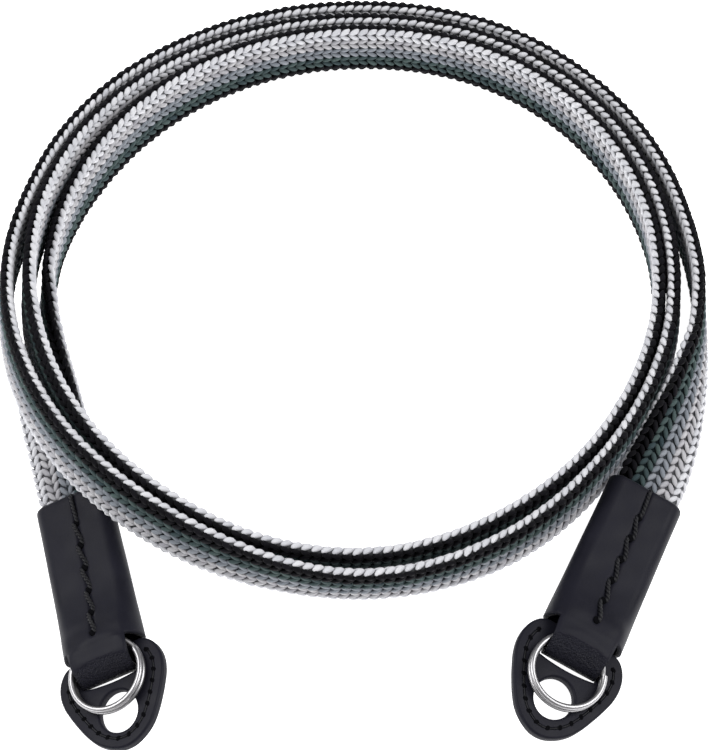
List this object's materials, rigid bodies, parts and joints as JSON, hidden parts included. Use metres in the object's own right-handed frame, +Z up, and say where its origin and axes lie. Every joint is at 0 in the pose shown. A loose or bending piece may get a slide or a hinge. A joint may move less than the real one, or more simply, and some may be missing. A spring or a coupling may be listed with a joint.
{
  "type": "coiled camera strap",
  "caption": "Flat knitted camera strap wound in a standing coil, with a stitched leather sleeve, a split ring and a leather flap at each end.",
  "frame": {"origin": "middle of the base of the bounding box, on the surface that the strap rests on", "axes": "+Z up; the two leather ends point along -Y, the left one towards -X; the coil's far side is towards +Y"},
  "size_m": [0.1478, 0.173, 0.0245],
  "materials": {
    "knit": "knitted tube in white, grey, blue-grey, dark teal and black yarn",
    "leather": "smooth black leather with a soft sheen",
    "steel": "polished spring steel wire"
  },
  "bodies": {
    "root": {"strap": "knit", "sleeve_left": "leather", "sleeve_right": "leather", "flap_left": "leather", "flap_right": "leather", "ring_left": "steel", "ring_right": "steel"}
  },
  "joints": []
}
